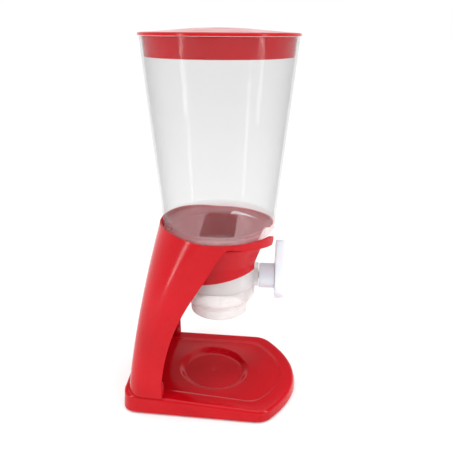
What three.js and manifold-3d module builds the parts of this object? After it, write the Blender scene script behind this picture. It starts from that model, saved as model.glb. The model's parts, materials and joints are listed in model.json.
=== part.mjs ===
// Counter-top candy dispenser: a clear tapered hopper that lifts off a red stand, with a
// paddle wheel under it that a knob turns to drop sweets into a cup on the base.
// Millimetres, +Z up, +X is the front (the knob's side), origin on the ground at the middle
// of the base.

import * as THREE from 'three';
import { mergeVertices } from 'three/addons/utils/BufferGeometryUtils.js';
import Module from 'manifold-3d';

const wasm = await Module();
wasm.setup();

// ---------------------------------------------------------------- driving dimensions

const GAP = 0.3;                 // clearance between pieces that touch
const AXIS_X = 6;                // hopper and outlet axis, forward of the base's middle
const ROUND_STEPS = 44;          // facets round the large turned pieces
const RIM_STEPS = 52;            // facets round the hopper and the lid
const SMALL_STEPS = 20;          // facets round shafts, bosses and bushes
const SCREW_STEPS = 10;
const FINE_STEPS = 40;           // facets round the knob's hub and the wheel's cheeks
const REACH = 250;               // larger than any cutting tool needs to be

const FOOT_DROP = 1.5;           // how far the rubber feet lift the base
const BASE_HALF_LENGTH = 96;
const BASE_REAR_HALF_WIDTH = 69;
const BASE_FRONT_HALF_WIDTH = 75.5;
const BASE_REAR_CORNER = 20;
const BASE_FRONT_CORNER_X = 62;
const BASE_WALL = 3;
const BASE_MID_HEIGHT = 17.9;    // top of the base at x = 0
const BASE_SLOPE = -0.058;       // the top falls towards the front
const BASE_EDGE = 5;             // width of the rounded top edge
const BASE_SKIN = 2.4;           // thickness of the floor of the dish and of the recess
const DISH_INSET = 17;
const DISH_DEPTH = 1.2;
const CUP_RECESS_R = 41.6;
const CUP_RECESS_FLOOR_R = 34.5;
const CUP_RECESS_DEPTH = 6.5;

const WALL = 2.6;                // moulded wall of the column
const COLUMN_FOOT_HALF_WIDTH = 69.5;
const COLUMN_FOOT_BACK = -90;    // back face at the foot
const COLUMN_LOW = 18;           // height where the column's shape starts
const COLUMN_TOP = 205;          // height where the shell has become a round collar
const COLLAR_R = 62.4;
const COLLAR_RIM = 197.9;        // rim height from the hopper axis to the front
const RIM_RISE = 5.2;            // the rim rises by this much over this run behind the axis
const RIM_RUN = 54;
const BAND_START = 22;           // where the arch has become the lower edge of the band
const BAND_START_Z = 193.9;
const BAND_SLOPE = -0.155;       // the band grows taller towards its two tips
const TIP_START = 58;            // the tips are cut off slanting from here forward
const TIP_SLOPE = -0.9;
const PRONG_GAP = 18;            // half the gap between the collar's two front ends

const HOPPER_FLOOR = 199.6;
const HOPPER_BOTTOM = 196;
const HOPPER_BOTTOM_R = 59;
const HOPPER_TOP = 387.4;
const HOPPER_TOP_R = 75.9;
const HOPPER_WALL = 2.2;
const TROUGH_HALF = 19;          // half width of the slot in the hopper floor
const TROUGH_REACH = 43;         // how far the slot runs each way across the hopper
const THROAT_HALF = 7;
const THROAT_REACH = 21;
const THROAT_Z = 171;

const LID_R = 77.2;
const LID_SKIRT_Z = 369.3;
const LID_PEAK = 395.4;
const LID_WALL = 2.2;
const LID_LIP_Z = 388;           // lower edge of the brim, outside the hopper's top edge
const SEAL_THICK = 0.8;

const SHAFT_Z = 139.6;
const SHAFT_R = 4;
const FIT = 0.15;                // running clearance of the shaft in its bushes
const CHAMBER_R = 40;
const CHAMBER_WALL = 2;
const BOWL_RIM_Z = 132;
const OUTLET_Z = 98.6;
const OUTLET_R = 31.4;
const WHEEL_R = 25.2;
const WHEEL_HALF = 23.4;
const VANES = 6;
const VANE_THICK = 1.8;
const BOSS_FACE = 43.5;          // front face of the shaft boss, from the hopper axis
const HUB_R = 13.8;
const KNOB_BACK = 61.0;          // back of the knob plate, from the hopper axis
const KNOB_THICK = 11.3;
const KNOB_R = 24.5;
const KNOB_TIP_R = 12;
const KNOB_TIP_REACH = 30;

// ---------------------------------------------------------------- solids and booleans

function faceOut(positions, triangles) {
  let volume = 0;
  const [a, b, c] = [new THREE.Vector3(), new THREE.Vector3(), new THREE.Vector3()];
  for (let i = 0; i < triangles.length; i += 3) {
    a.fromArray(positions, triangles[i] * 3);
    b.fromArray(positions, triangles[i + 1] * 3);
    c.fromArray(positions, triangles[i + 2] * 3);
    volume += a.dot(b.cross(c));
  }
  if (volume < 0) triangles.reverse();
}

function solid(geometry) {
  geometry.deleteAttribute('normal');
  geometry.deleteAttribute('uv');
  const welded = mergeVertices(geometry, 1e-4);
  const source = welded.index.array;
  const triangles = [];
  for (let i = 0; i < source.length; i += 3) {
    const [p, q, r] = [source[i], source[i + 1], source[i + 2]];
    if (p !== q && q !== r && r !== p) triangles.push(p, q, r);
  }
  const positions = welded.attributes.position.array;
  faceOut(positions, triangles);
  return new wasm.Manifold(new wasm.Mesh({
    numProp: 3,
    vertProperties: Float32Array.from(positions),
    triVerts: Uint32Array.from(triangles),
  }));
}

function join(first, ...others) {
  return others.reduce((body, other) => body.add(other), first);
}

function cut(body, ...tools) {
  return tools.reduce((left, tool) => left.subtract(tool), body);
}

// Solid of revolution about a vertical line through (x, y); profile is [radius, height].
function turned(profile, steps = ROUND_STEPS, x = AXIS_X, y = 0) {
  const points = profile.map(([r, z]) => new THREE.Vector2(r, z));
  const onAxis = profile[0][0] === 0 && profile[profile.length - 1][0] === 0;
  if (!onAxis) points.push(points[0].clone());
  const geometry = new THREE.LatheGeometry(points, steps);
  geometry.rotateX(Math.PI / 2);
  geometry.translate(x, y, 0);
  return solid(geometry);
}

function post(radius, low, high, x = AXIS_X, y = 0, steps = SMALL_STEPS) {
  return turned([[0, low], [radius, low], [radius, high], [0, high]], steps, x, y);
}

// Cylinder along X about the shaft's line, between two distances from the hopper axis.
function axle(radius, from, to, steps = SMALL_STEPS) {
  const geometry = new THREE.CylinderGeometry(radius, radius, to - from, steps);
  geometry.rotateZ(Math.PI / 2);
  geometry.translate(AXIS_X + (from + to) / 2, 0, SHAFT_Z);
  return solid(geometry);
}

function block(low, high) {
  const size = high.map((value, i) => value - low[i]);
  const geometry = new THREE.BoxGeometry(...size);
  geometry.translate(...low.map((value, i) => value + size[i] / 2));
  return solid(geometry);
}

// Closed skin over a stack of convex outlines that all have the same number of points.
function loft(rings) {
  const count = rings[0].length;
  const positions = rings.flat().flatMap((p) => [p.x, p.y, p.z]);
  const index = [];
  for (let level = 0; level + 1 < rings.length; level += 1) {
    for (let i = 0; i < count; i += 1) {
      const here = level * count + i;
      const next = level * count + ((i + 1) % count);
      index.push(here, next, next + count);
      index.push(here, next + count, here + count);
    }
  }
  const cap = (ring, offset, flip) => {
    const middle = new THREE.Vector3();
    ring.forEach((p) => middle.addScaledVector(p, 1 / count));
    const centre = positions.length / 3;
    positions.push(middle.x, middle.y, middle.z);
    for (let i = 0; i < count; i += 1) {
      const edge = [offset + i, offset + ((i + 1) % count)];
      index.push(centre, ...(flip ? edge.reverse() : edge));
    }
  };
  cap(rings[0], 0, true);
  cap(rings[rings.length - 1], (rings.length - 1) * count, false);
  const geometry = new THREE.BufferGeometry();
  geometry.setAttribute('position', new THREE.Float32BufferAttribute(positions, 3));
  geometry.setIndex(index);
  return solid(geometry);
}

function circle(radius, steps = ROUND_STEPS, x = AXIS_X, y = 0) {
  return Array.from({ length: steps }, (_, i) => {
    const angle = (i / steps) * 2 * Math.PI;
    return new THREE.Vector2(x + radius * Math.cos(angle), y + radius * Math.sin(angle));
  });
}

function lift(outline, height) {
  return outline.map((p) => new THREE.Vector3(p.x, p.y, height(p.x, p.y)));
}

// ---------------------------------------------------------------- base

const baseTop = (x) => BASE_MID_HEIGHT + BASE_SLOPE * x;

// Plan of the base, shrunk by a margin; its corners stay round however far it shrinks.
function baseOutline(margin = 0) {
  const shape = new THREE.Shape();
  const [rear, front] = [margin - BASE_HALF_LENGTH, BASE_HALF_LENGTH - margin];
  const rearSide = margin - BASE_REAR_HALF_WIDTH;
  const frontSide = margin - BASE_FRONT_HALF_WIDTH;
  const corner = BASE_FRONT_CORNER_X - 0.6 * margin;
  shape.moveTo(rear, 0);
  shape.lineTo(rear, rearSide + BASE_REAR_CORNER);
  shape.quadraticCurveTo(rear, rearSide, rear + BASE_REAR_CORNER, rearSide);
  shape.lineTo(corner - 12, frontSide + 0.5);
  shape.quadraticCurveTo(corner, frontSide, corner + 8, frontSide + 11);
  shape.quadraticCurveTo(front, 0.44 * frontSide, front, 0);
  const half = shape.getPoints(7);
  const mirrored = half.slice(1, -1).reverse().map((p) => new THREE.Vector2(p.x, -p.y));
  return [...half, ...mirrored];
}

// Layers of a slab that follows the sloping top: each is [margin, height above the top].
function slopingSlab(layers) {
  return loft(layers.map(([margin, rise]) => lift(baseOutline(margin), (x) => baseTop(x) + rise)));
}

const FOOT_SPOTS = [[62, 50], [62, -50], [-78, 46], [-78, -46]];
const FOOT_R = 7;
const FOOT_TOP = 4.2;
const COLUMN_SCREW_SPOTS = [[-84, 34], [-84, -34], [-54, 62.6], [-54, -62.6]];
const SCREW_SHANK_R = 1.6;
const SCREW_HEAD_R = 3.4;
const SCREW_HEAD_TOP = 9;        // underside of the base's screw posts
const SCREW_TIP = 30;
const BASE_POST_R = 5.5;
const COLUMN_POST_R = 5;
const COLUMN_POST_TOP = 36;

function baseTray() {
  const rings = [
    lift(baseOutline(0.8), () => FOOT_DROP),
    lift(baseOutline(), () => FOOT_DROP + 1),
    lift(baseOutline(1), (x) => baseTop(x) - 4),
    lift(baseOutline(2), (x) => baseTop(x) - 1.6),
    lift(baseOutline(3.4), (x) => baseTop(x) - 0.4),
    lift(baseOutline(BASE_EDGE), (x) => baseTop(x)),
  ];
  const dish = slopingSlab([[DISH_INSET + 3, -DISH_DEPTH], [DISH_INSET, 0], [DISH_INSET - 1, 1]]);
  const recess = loft([
    [CUP_RECESS_FLOOR_R, -CUP_RECESS_DEPTH],
    [CUP_RECESS_FLOOR_R + 2, -CUP_RECESS_DEPTH + 0.6],
    [CUP_RECESS_R - 1.6, -DISH_DEPTH - 1],
    [CUP_RECESS_R, -DISH_DEPTH + 0.1],
    [CUP_RECESS_R + 0.4, 1],
  ].map(([radius, rise]) => lift(circle(radius, ROUND_STEPS, 0), (x) => baseTop(x) + rise)));
  const gateMark = post(1.4, baseTop(0) - CUP_RECESS_DEPTH - 0.5, 20, 0, 0, SCREW_STEPS);

  const recessUnderside = loft([-CUP_RECESS_DEPTH - BASE_SKIN, 1].map(
    (rise) => lift(circle(CUP_RECESS_R + 1, ROUND_STEPS, 0), (x) => baseTop(x) + rise),
  ));
  const hollow = cut(
    loft([
      lift(baseOutline(BASE_WALL), () => 0),
      lift(baseOutline(BASE_WALL + 1), (x) => baseTop(x) - 5),
      lift(baseOutline(BASE_WALL + 3), (x) => baseTop(x) - DISH_DEPTH - BASE_SKIN),
    ]),
    recessUnderside,
    ...FOOT_SPOTS.map(([x, y]) => post(FOOT_R + 1.5, -1, REACH, x, y)),
    ...COLUMN_SCREW_SPOTS.map(([x, y]) => post(BASE_POST_R, SCREW_HEAD_TOP, REACH, x, y)),
  );
  return cut(
    loft(rings), dish, recess, gateMark, hollow,
    ...FOOT_SPOTS.map(([x, y]) => post(FOOT_R + GAP, -1, FOOT_TOP + GAP, x, y)),
    ...COLUMN_SCREW_SPOTS.map(([x, y]) => post(SCREW_SHANK_R + GAP, 0, REACH, x, y, SCREW_STEPS)),
  );
}

function rubberFoot([x, y]) {
  return turned([[0, 0], [FOOT_R - 1, 0], [FOOT_R, 1], [FOOT_R, FOOT_TOP], [0, FOOT_TOP]], SMALL_STEPS, x, y);
}

// Pan-head screw standing on end: head below, shank up.
function screwUp(x, y, headLow, headHigh, tip) {
  return cut(
    turned([
      [0, headLow], [SCREW_HEAD_R - 0.8, headLow], [SCREW_HEAD_R, headLow + 0.8],
      [SCREW_HEAD_R, headHigh], [SCREW_SHANK_R, headHigh], [SCREW_SHANK_R, tip - 1.2], [0.4, tip], [0, tip],
    ], SCREW_STEPS, x, y),
    block([x - 0.5, y - 2, headLow - 1], [x + 0.5, y + 2, headLow + 1]),
    block([x - 2, y - 0.5, headLow - 1], [x + 2, y + 0.5, headLow + 1]),
  );
}

// ---------------------------------------------------------------- column and collar

const rimHeight = (x) => COLLAR_RIM + RIM_RISE * THREE.MathUtils.smoothstep(AXIS_X - x, 0, RIM_RUN);
const bandBottom = (x) => BAND_START_Z + BAND_SLOPE * (x - BAND_START);
const tipTop = (x) => COLLAR_RIM + TIP_SLOPE * (x - TIP_START);

// Section of the column: flat back with round corners, straight sides, half-round front.
function columnSection(z, wall) {
  const t = Math.min(1, Math.max(0, (z - COLUMN_LOW) / (COLUMN_TOP - COLUMN_LOW)));
  const half = THREE.MathUtils.lerp(COLUMN_FOOT_HALF_WIDTH, COLLAR_R, t) - wall;
  const collarBack = AXIS_X - COLLAR_R;
  const rise = collarBack - COLUMN_FOOT_BACK;
  const back = COLUMN_FOOT_BACK + rise * (0.65 * t + 0.35 * t * t) + wall;
  const round = THREE.MathUtils.lerp(BASE_REAR_CORNER, COLLAR_R, t * t) - wall;
  const corner = Math.min(half, round);
  const depth = Math.min(AXIS_X - back, round);
  const points = [];
  const arc = (cx, cy, rx, ry, from, steps) => {
    for (let i = 0; i < steps; i += 1) {
      const angle = from + (i / steps) * (Math.PI / 2);
      points.push(new THREE.Vector2(cx + rx * Math.cos(angle), cy + ry * Math.sin(angle)));
    }
  };
  arc(AXIS_X, 0, half, half, 0, 9);
  arc(back + depth, half - corner, depth, corner, Math.PI / 2, 9);
  arc(back + depth, corner - half, depth, corner, Math.PI, 9);
  arc(AXIS_X, 0, half, half, Math.PI * 1.5, 9);
  return points;
}

function columnBody(wall, low, high) {
  const levels = 10;
  const rings = [];
  for (let i = 0; i <= levels; i += 1) {
    const z = THREE.MathUtils.lerp(low, high, i / levels);
    rings.push(lift(columnSection(z, wall), () => z));
  }
  return loft(rings);
}

// Everything in front of the arch, as a side view: the arch leaves the foot upright,
// sweeps forward and runs out under the collar band.
function archCutter() {
  const foot = new THREE.Vector2(-50, 40);
  const footPull = new THREE.Vector2(-44, 92);
  const middlePull = new THREE.Vector2(-28, 122);
  const middle = new THREE.Vector2(-6, 156);
  const bandPull = new THREE.Vector2(6, 175);
  const bandStart = new THREE.Vector2(BAND_START, BAND_START_Z);
  const shape = new THREE.Shape();
  shape.moveTo(foot.x, -REACH);
  shape.lineTo(foot.x, foot.y);
  shape.bezierCurveTo(footPull.x, footPull.y, middlePull.x, middlePull.y, middle.x, middle.y);
  shape.bezierCurveTo(bandPull.x, bandPull.y, bandStart.x - 9, bandStart.y + 1, bandStart.x, bandStart.y);
  shape.lineTo(REACH, bandBottom(REACH));
  shape.lineTo(REACH, -REACH);
  const geometry = new THREE.ExtrudeGeometry(shape, { depth: REACH, bevelEnabled: false, curveSegments: 14 });
  geometry.rotateX(Math.PI / 2);
  geometry.translate(0, REACH / 2, 0);
  return solid(geometry);
}

// Everything above or below a surface whose height depends on x alone.
function slopingBlock(height, side) {
  const strips = 12;
  const across = Array.from({ length: strips + 1 }, (_, i) => THREE.MathUtils.lerp(-100, 100, i / strips));
  const shape = new THREE.Shape(across.map((x) => new THREE.Vector2(x, height(x))));
  shape.lineTo(100, side * 2 * REACH);
  shape.lineTo(-100, side * 2 * REACH);
  const geometry = new THREE.ExtrudeGeometry(shape, { depth: REACH, bevelEnabled: false });
  geometry.rotateX(Math.PI / 2);
  geometry.translate(0, REACH / 2, 0);
  return solid(geometry);
}

const SEAT_LEDGE_Z = 186.2;
const SEAT_LEDGE_THICK = 2.6;
const SEAT_OPENING_R = 52.4;
const SEAT_THICK = 1.8;
const SEAT_SLOT_HALF = PRONG_GAP + 2.5;
const SEAT_SCREW_SHANK_R = 1.5;
const SEAT_SCREW_TIP = 179;
const SEAT_SCREW_R = 55.6;
const SEAT_SCREW_ANGLES = [180, 118, 242].map(THREE.MathUtils.degToRad);
const SEAT_SCREW_SPOTS = SEAT_SCREW_ANGLES.map(
  (angle) => [AXIS_X + SEAT_SCREW_R * Math.cos(angle), SEAT_SCREW_R * Math.sin(angle)],
);

function seatHoles() {
  const radius = SEAT_SCREW_SHANK_R + GAP;
  return SEAT_SCREW_SPOTS.map(([x, y]) => post(radius, SEAT_SCREW_TIP - 1, REACH, x, y, SCREW_STEPS));
}

function columnShell() {
  const [low, high] = [10, COLUMN_TOP + 10];
  const skin = cut(columnBody(0, low, high), columnBody(WALL, low - 1, high + 1));
  const ledge = cut(
    post(COLLAR_R - 1, SEAT_LEDGE_Z - SEAT_LEDGE_THICK, SEAT_LEDGE_Z, AXIS_X, 0, ROUND_STEPS),
    post(SEAT_OPENING_R, 0, REACH, AXIS_X, 0, ROUND_STEPS),
  );
  const screwPosts = SEAT_SCREW_SPOTS.map(([x, y]) => post(3.4, SEAT_LEDGE_Z - 10, SEAT_LEDGE_Z, x, y));
  const footPosts = COLUMN_SCREW_SPOTS.map(([x, y]) => post(COLUMN_POST_R, low, COLUMN_POST_TOP, x, y));
  const footHoles = COLUMN_SCREW_SPOTS.map(
    ([x, y]) => post(SCREW_SHANK_R + GAP, 0, SCREW_TIP + 2, x, y, SCREW_STEPS),
  );
  const inside = join(ledge, ...screwPosts, ...footPosts).intersect(columnBody(0.2, low, high));
  return cut(
    join(skin, inside),
    archCutter(),
    block([AXIS_X + 20, -PRONG_GAP, 100], [REACH, PRONG_GAP, REACH]),
    slopingBlock(rimHeight, 1),
    slopingBlock(tipTop, 1),
    slopingBlock((x) => baseTop(x) + GAP, -1),
    ...footHoles, ...seatHoles(),
  );
}

// Red cup inside the collar that guides the hopper's lower housing; open at the front.
function seatCup() {
  const flangeLow = SEAT_LEDGE_Z + GAP;
  const flangeHigh = flangeLow + 2;
  const flangeR = COLLAR_R - WALL - 0.8;
  const [sleeveR, sleeveTop] = [44.2, 163];
  const lowest = 130;
  const cup = turned([
    [sleeveR - SEAT_THICK, lowest], [sleeveR, lowest], [sleeveR, sleeveTop], [51.8, flangeLow - 0.4],
    [51.8, flangeLow], [flangeR, flangeLow], [flangeR, flangeHigh], [50.8, flangeHigh],
    [sleeveR - SEAT_THICK, sleeveTop + 0.6],
  ]);
  const lowerEdge = (x) => 148.4 + 0.21 * (x - AXIS_X);
  return cut(
    cup,
    slopingBlock(lowerEdge, -1),
    block([AXIS_X + 10, -SEAT_SLOT_HALF, 100], [REACH, SEAT_SLOT_HALF, REACH]),
    ...seatHoles(),
  );
}

function seatScrew([x, y]) {
  const shank = SEAT_SCREW_SHANK_R;
  const headLow = SEAT_LEDGE_Z + 2 * GAP + 2;
  return cut(
    turned([
      [0, SEAT_SCREW_TIP], [0.4, SEAT_SCREW_TIP], [shank, SEAT_SCREW_TIP + 1.2], [shank, headLow],
      [2.9, headLow], [2.9, headLow + 1.2], [2.2, headLow + 1.9], [0, headLow + 1.9],
    ], SCREW_STEPS, x, y),
    block([x - 0.4, y - 1.7, headLow + 1], [x + 0.4, y + 1.7, headLow + 3]),
    block([x - 1.7, y - 0.4, headLow + 1], [x + 1.7, y + 0.4, headLow + 3]),
  );
}

// ---------------------------------------------------------------- hopper

function roundedRectangle(halfX, halfY, corner, perCorner = 5) {
  const points = [];
  for (let quarter = 0; quarter < 4; quarter += 1) {
    const signX = quarter === 0 || quarter === 3 ? 1 : -1;
    const signY = quarter < 2 ? 1 : -1;
    for (let i = 0; i < perCorner; i += 1) {
      const angle = (quarter + i / (perCorner - 1)) * (Math.PI / 2);
      points.push(new THREE.Vector2(
        AXIS_X + signX * (halfX - corner) + corner * Math.cos(angle),
        signY * (halfY - corner) + corner * Math.sin(angle),
      ));
    }
  }
  return points;
}

// The wedge-shaped way down from the hopper floor to the wheel, grown by a margin.
function troughWedge(margin, low, high) {
  const bottom = roundedRectangle(THROAT_HALF + margin, THROAT_REACH + margin, 3 + margin);
  const top = roundedRectangle(TROUGH_HALF + margin, TROUGH_REACH + margin, 8 + margin);
  const at = (z) => (z - THROAT_Z) / (HOPPER_FLOOR - THROAT_Z);
  const level = (z) => bottom.map((p, i) => {
    const q = p.clone().lerp(top[i], at(z));
    return new THREE.Vector3(q.x, q.y, z);
  });
  return loft([level(low), level(high)]);
}

function hopperTank() {
  const wall = turned([
    [0, HOPPER_BOTTOM], [56, HOPPER_BOTTOM], [58.3, HOPPER_BOTTOM + 1.2], [HOPPER_BOTTOM_R, HOPPER_FLOOR],
    [HOPPER_TOP_R, HOPPER_TOP - 0.7], [HOPPER_TOP_R - 0.6, HOPPER_TOP],
    [HOPPER_TOP_R - HOPPER_WALL + 0.6, HOPPER_TOP], [HOPPER_TOP_R - HOPPER_WALL, HOPPER_TOP - 0.7],
    [HOPPER_BOTTOM_R - HOPPER_WALL + 0.5, HOPPER_FLOOR + 6], [54.8, HOPPER_FLOOR + 2.6],
    [49.6, HOPPER_FLOOR], [0, HOPPER_FLOOR],
  ], RIM_STEPS);
  return cut(wall, troughWedge(0, HOPPER_BOTTOM - 4, HOPPER_FLOOR + 4));
}

const CHUTE_FLANGE_R = 46.6;
const CHUTE_WALL = 1.7;

function troughChute() {
  const flangeHigh = HOPPER_BOTTOM - GAP;
  const flange = post(CHUTE_FLANGE_R, flangeHigh - 1.8, flangeHigh, AXIS_X, 0, ROUND_STEPS);
  const walls = troughWedge(CHUTE_WALL, THROAT_Z, flangeHigh - 0.4);
  return cut(join(flange, walls), troughWedge(0, THROAT_Z - 2, HOPPER_FLOOR));
}

const BUSH_R = 7.6;
const BOSS_R = 14.4;

// Milky upper housing of the wheel, with a boss for the shaft at the front.
function chamberBody() {
  const inner = CHAMBER_R - CHAMBER_WALL;
  const top = HOPPER_BOTTOM - GAP;
  const skin = turned([
    [inner - 1, BOWL_RIM_Z + GAP], [CHAMBER_R - 0.8, BOWL_RIM_Z + GAP], [CHAMBER_R, BOWL_RIM_Z + 2.6],
    [CHAMBER_R, 172.6], [41.3, 177], [49.6, 190], [49.8, top], [47.8, top], [47.6, 190.6],
    [39.3, 177.6], [inner, 173], [inner, BOWL_RIM_Z + 3],
  ]);
  const outside = post(CHAMBER_R - 0.3, BOWL_RIM_Z - 30, 172, AXIS_X, 0, ROUND_STEPS);
  const frontBoss = axle(BOSS_R, 30, BOSS_FACE);
  const inward = cut(frontBoss, post(34.5, 100, 172, AXIS_X, 0, ROUND_STEPS));
  const rearBoss = axle(10, -CHAMBER_R + 0.8, -31).intersect(outside);
  return cut(
    join(skin, inward, rearBoss),
    axle(BUSH_R + FIT, 20, 60),
    axle(BUSH_R + FIT, -37, -20),
    block([-REACH, -REACH, 0], [REACH, REACH, BOWL_RIM_Z + GAP]),
  );
}

// Bowl under the chamber that narrows to the outlet ring.
function outletBowl() {
  const t = CHAMBER_WALL;
  return turned([
    [OUTLET_R, OUTLET_Z], [OUTLET_R + 0.5, 108], [OUTLET_R - 0.4, 109.2], [OUTLET_R + 0.2, 110.2],
    [36, 113.6], [39, 118], [40, 123], [39.6, 127.6], [38.9, BOWL_RIM_Z],
    [38.9 - t, BOWL_RIM_Z], [39.6 - t, 127], [40 - t, 123], [39.2 - t, 119], [36.6 - t, 115.4],
    [OUTLET_R - t, 111.6], [OUTLET_R - t - 0.4, OUTLET_Z],
  ]);
}

// Curved cheeks close round the wheel, open above to the throat and below to the outlet.
function wheelCheeks() {
  const half = WHEEL_HALF + 1;
  const end = half - 3;
  const side = THROAT_REACH - 3;
  return cut(
    axle(WHEEL_R + 2.6, -half, half, FINE_STEPS),
    axle(WHEEL_R + 0.8, -half - 1, half + 1, FINE_STEPS),
    block([AXIS_X - end, -side, 0], [AXIS_X + end, side, REACH]),
  );
}

function bush(from, to, flangeFrom, flangeTo) {
  const body = join(axle(BUSH_R, from, to), axle(BUSH_R + 1.8, flangeFrom, flangeTo));
  return cut(body, axle(SHAFT_R + FIT, from - 5, to + 5));
}

// ---------------------------------------------------------------- wheel and knob

function paddleWheel() {
  const hub = axle(9, -WHEEL_HALF, WHEEL_HALF);
  const vanes = Array.from({ length: VANES }, (_, i) => {
    const geometry = new THREE.BoxGeometry(2 * WHEEL_HALF, VANE_THICK, WHEEL_R - 6);
    geometry.translate(0, 0, (WHEEL_R + 6) / 2);
    geometry.rotateX(((i + 0.5) / VANES) * 2 * Math.PI);
    geometry.translate(AXIS_X, 0, SHAFT_Z);
    return solid(geometry);
  });
  return cut(join(hub, ...vanes), axle(SHAFT_R + FIT, -40, 40));
}

const SHAFT_FRONT = 56;          // the shaft ends inside the knob's hub
const KNOB_SCREW_R = 1.5;
const CAP_R = 7;
const CAP_SEAT = KNOB_BACK + KNOB_THICK - 5.5;

function driveShaft() {
  return cut(
    axle(SHAFT_R, -36.6, SHAFT_FRONT),
    axle(KNOB_SCREW_R + GAP, SHAFT_FRONT - 12, SHAFT_FRONT + 5, SCREW_STEPS),
  );
}

function knobHub() {
  const from = BOSS_FACE + 0.6;
  const to = KNOB_BACK - GAP;
  return cut(
    axle(HUB_R, from, to, FINE_STEPS),
    axle(SHAFT_R + FIT, from - 1, SHAFT_FRONT + GAP),
    axle(KNOB_SCREW_R + GAP, from, to + 2, SCREW_STEPS),
  );
}

// Egg-shaped grip plate: a round body and a smaller round tip joined by tangent lines.
function knobPlate() {
  const lean = Math.acos((KNOB_R - KNOB_TIP_R) / KNOB_TIP_REACH);
  const shape = new THREE.Shape();
  shape.absarc(0, 0, KNOB_R, Math.PI / 2 + lean, Math.PI / 2 - lean, false);
  shape.absarc(0, KNOB_TIP_REACH, KNOB_TIP_R, Math.PI / 2 - lean, Math.PI / 2 + lean, false);
  const edge = 1.6;
  const geometry = new THREE.ExtrudeGeometry(shape, {
    depth: KNOB_THICK - 2 * edge,
    bevelThickness: edge,
    bevelSize: edge,
    bevelOffset: -edge,
    bevelSegments: 2,
    curveSegments: 12,
  });
  geometry.rotateY(Math.PI / 2);
  geometry.rotateX(Math.PI / 2);
  geometry.translate(AXIS_X + KNOB_BACK + edge, 0, SHAFT_Z);
  const front = KNOB_BACK + KNOB_THICK;
  return cut(
    solid(geometry),
    axle(KNOB_SCREW_R + GAP, KNOB_BACK - 1, front + 1, SCREW_STEPS),
    axle(CAP_R + GAP, CAP_SEAT, front + 1),
  );
}

function knobScrew() {
  const seat = CAP_SEAT + GAP;
  return cut(
    join(axle(KNOB_SCREW_R, SHAFT_FRONT - 9, seat + 1, SCREW_STEPS), axle(SCREW_HEAD_R, seat, seat + 2.2)),
    block([AXIS_X + seat + 1.2, -2, SHAFT_Z - 0.4], [AXIS_X + seat + 4, 2, SHAFT_Z + 0.4]),
    block([AXIS_X + seat + 1.2, -0.4, SHAFT_Z - 2], [AXIS_X + seat + 4, 0.4, SHAFT_Z + 2]),
  );
}

function knobCap() {
  const front = KNOB_BACK + KNOB_THICK;
  return axle(CAP_R, front - 2.4, front + 0.4);
}

// ---------------------------------------------------------------- lid

// Thin domed lid: its skirt tapers with the hopper's wall, and the lip of its brim hides the seal.
function lidShell() {
  const under = HOPPER_TOP + 2 * GAP + SEAL_THICK;
  const wallR = HOPPER_TOP_R - HOPPER_WALL - 0.5;
  const skirtR = 71.6;
  const domeR = 60;
  return turned([
    [skirtR - 1.2, LID_SKIRT_Z], [skirtR, LID_SKIRT_Z], [wallR, HOPPER_TOP], [wallR, under],
    [LID_R - 0.9, under], [LID_R - 0.9, LID_LIP_Z], [LID_R - 0.2, LID_LIP_Z], [LID_R, LID_LIP_Z + 0.4],
    [LID_R, LID_LIP_Z + 1.8], [LID_R - 0.8, LID_LIP_Z + 2.6], [LID_R - 3, LID_LIP_Z + 2.9],
    [domeR, LID_LIP_Z + 3.8], [25, LID_PEAK - 0.8], [0, LID_PEAK],
    [0, LID_PEAK - LID_WALL], [25, LID_PEAK - 0.8 - LID_WALL], [domeR, LID_LIP_Z + 3.8 - LID_WALL],
    [wallR - 1.2, under - 1],
  ], RIM_STEPS);
}

function lidSeal() {
  const low = HOPPER_TOP + GAP;
  return turned([
    [73.9, low], [75.7, low], [75.7, low + SEAL_THICK], [73.9, low + SEAL_THICK],
  ], RIM_STEPS);
}

// ---------------------------------------------------------------- assembly

const RED = { color: 0xc4151f, roughness: 0.25, metalness: 0 };
const CLEAR = { color: 0xe8ecee, roughness: 0.05, metalness: 0, transparent: true, opacity: 0.35 };
const MILKY = { color: 0xe9e4e4, roughness: 0.25, metalness: 0, transparent: true, opacity: 0.6 };
const WHITE = { color: 0xeef0f6, roughness: 0.35, metalness: 0 };
const SILICONE = { color: 0xd9d9d9, roughness: 0.6, metalness: 0 };
const STEEL = { color: 0x9a9ca0, roughness: 0.3, metalness: 1 };
const RUBBER = { color: 0x26262a, roughness: 0.8, metalness: 0 };

const object = new THREE.Group();

function place(name, body, look) {
  const mesh = body.getMesh();
  const geometry = new THREE.BufferGeometry();
  geometry.setAttribute('position', new THREE.BufferAttribute(Float32Array.from(mesh.vertProperties), 3));
  geometry.setIndex(new THREE.BufferAttribute(Uint32Array.from(mesh.triVerts), 1));
  geometry.computeVertexNormals();
  const piece = new THREE.Mesh(geometry, new THREE.MeshStandardMaterial(look));
  piece.name = name;
  object.add(piece);
}

place('base_tray', baseTray(), RED);
FOOT_SPOTS.forEach((spot, i) => place(`rubber_foot_${i + 1}`, rubberFoot(spot), RUBBER));
place('column_shell', columnShell(), RED);
COLUMN_SCREW_SPOTS.forEach(([x, y], i) => {
  place(`column_screw_${i + 1}`, screwUp(x, y, 6.2, SCREW_HEAD_TOP - GAP, SCREW_TIP), STEEL);
});
place('seat_cup', seatCup(), RED);
SEAT_SCREW_SPOTS.forEach((spot, i) => place(`seat_screw_${i + 1}`, seatScrew(spot), STEEL));

place('hopper_tank', hopperTank(), CLEAR);
place('trough_chute', troughChute(), CLEAR);
place('chamber_body', chamberBody(), MILKY);
place('outlet_bowl', outletBowl(), MILKY);
place('wheel_cheeks', wheelCheeks(), CLEAR);
place('front_bush', bush(32, BOSS_FACE, 30.4, 32.4), WHITE);
place('rear_bush', bush(-36.7, -30, -30.7, -28.6), WHITE);

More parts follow.
